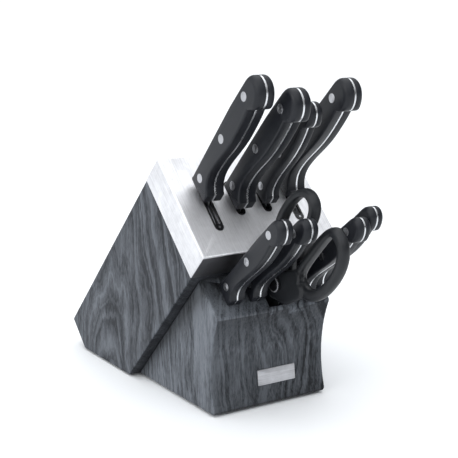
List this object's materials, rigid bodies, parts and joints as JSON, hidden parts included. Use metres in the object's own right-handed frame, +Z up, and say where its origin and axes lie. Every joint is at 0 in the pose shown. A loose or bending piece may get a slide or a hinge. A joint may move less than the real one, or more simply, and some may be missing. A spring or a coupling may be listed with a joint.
{
  "type": "knife block with knives",
  "caption": "Leaning charcoal-wood knife block with a brushed steel cap, riveted full-tang knives and a pair of kitchen shears that slide out of their slots.",
  "frame": {"origin": "on the table plane under the feet, midway across the width and midway between the foremost handle and the rear edge of the block", "axes": "+X to the object's right seen from the front, -Y to the front where the handles lean, +Z up"},
  "size_m": [0.1206, 0.3026, 0.2529],
  "materials": {
    "charcoal_wood": "charcoal-stained open grain, satin",
    "dowel_wood": "raw beech",
    "cap_steel": "brushed down the slope",
    "blade_steel": "satin ground",
    "rivet_steel": "polished",
    "plate_steel": "satin",
    "handle_black": "fine satin",
    "shears_black": "fine satin",
    "liner_black": "gloss",
    "sharpener_steel": "ribbed",
    "screw_steel": "blackened, bright at the rim",
    "foot_rubber": "matte"
  },
  "bodies": {
    "block": {"rear_block": "charcoal_wood", "front_block_left": "charcoal_wood", "front_block_right": "charcoal_wood", "front_block_core_rear": "charcoal_wood", "front_block_core_front": "charcoal_wood", "front_block_core_floor": "charcoal_wood", "joining_dowels": "dowel_wood", "rubber_feet": "foot_rubber", "label_plate": "plate_steel", "steel_cap": "cap_steel", "slot_liner_1": "liner_black", "slot_liner_2": "liner_black", "slot_liner_3": "liner_black", "slot_liner_4": "liner_black", "sharpener_left": "sharpener_steel", "sharpener_right": "sharpener_steel", "sharpener_pins": "sharpener_steel"},
    "chef_knife": {"chef_knife_blade": "blade_steel", "chef_knife_scale_left": "handle_black", "chef_knife_scale_right": "handle_black", "chef_knife_rivets": "rivet_steel"},
    "bread_knife": {"bread_knife_blade": "blade_steel", "bread_knife_scale_left": "handle_black", "bread_knife_scale_right": "handle_black", "bread_knife_rivets": "rivet_steel"},
    "utility_knife": {"utility_knife_blade": "blade_steel", "utility_knife_scale_left": "handle_black", "utility_knife_scale_right": "handle_black", "utility_knife_rivets": "rivet_steel"},
    "santoku_knife": {"santoku_knife_blade": "blade_steel", "santoku_knife_scale_left": "handle_black", "santoku_knife_scale_right": "handle_black", "santoku_knife_rivets": "rivet_steel"},
    "steak_knife_1": {"steak_knife_1_blade": "blade_steel", "steak_knife_1_scale_left": "handle_black", "steak_knife_1_scale_right": "handle_black", "steak_knife_1_rivets": "rivet_steel"},
    "steak_knife_2": {"steak_knife_2_blade": "blade_steel", "steak_knife_2_scale_left": "handle_black", "steak_knife_2_scale_right": "handle_black", "steak_knife_2_rivets": "rivet_steel"},
    "steak_knife_3": {"steak_knife_3_blade": "blade_steel", "steak_knife_3_scale_left": "handle_black", "steak_knife_3_scale_right": "handle_black", "steak_knife_3_rivets": "rivet_steel"},
    "steak_knife_4": {"steak_knife_4_blade": "blade_steel", "steak_knife_4_scale_left": "handle_black", "steak_knife_4_scale_right": "handle_black", "steak_knife_4_rivets": "rivet_steel"},
    "shears_rear_half": {"shears_rear_blade": "blade_steel", "shears_rear_handle": "shears_black", "shears_pivot_screw": "screw_steel", "shears_pivot_nut": "screw_steel"},
    "shears_front_half": {"shears_front_blade": "blade_steel", "shears_front_handle": "shears_black"}
  },
  "joints": [
    {"name": "chef_knife_slide", "type": "slide", "parent": "block", "child": "chef_knife", "axis": [0, -0.6691, 0.7431], "range_m": [0, 0.21]},
    {"name": "bread_knife_slide", "type": "slide", "parent": "block", "child": "bread_knife", "axis": [0, -0.6947, 0.7193], "range_m": [0, 0.195]},
    {"name": "utility_knife_slide", "type": "slide", "parent": "block", "child": "utility_knife", "axis": [0, -0.6494, 0.7604], "range_m": [0, 0.13]},
    {"name": "santoku_knife_slide", "type": "slide", "parent": "block", "child": "santoku_knife", "axis": [0, -0.6947, 0.7193], "range_m": [0, 0.185]},
    {"name": "steak_knife_1_slide", "type": "slide", "parent": "block", "child": "steak_knife_1", "axis": [0, -0.7431, 0.6691], "range_m": [0, 0.115]},
    {"name": "steak_knife_2_slide", "type": "slide", "parent": "block", "child": "steak_knife_2", "axis": [0, -0.7547, 0.6561], "range_m": [0, 0.115]},
    {"name": "steak_knife_3_slide", "type": "slide", "parent": "block", "child": "steak_knife_3", "axis": [0, -0.7716, 0.6361], "range_m": [0, 0.115]},
    {"name": "steak_knife_4_slide", "type": "slide", "parent": "block", "child": "steak_knife_4", "axis": [0, -0.7455, 0.6665], "range_m": [0, 0.115]},
    {"name": "shears_slide", "type": "slide", "parent": "block", "child": "shears_rear_half", "axis": [0, -0.6947, 0.7193], "range_m": [0, 0.105]},
    {"name": "shears_pivot", "type": "hinge", "parent": "shears_rear_half", "child": "shears_front_half", "pos_m": [0.0045, -0.07592, 0.09698], "axis": [1, 0, 0], "range_deg": [0, 6]}
  ]
}
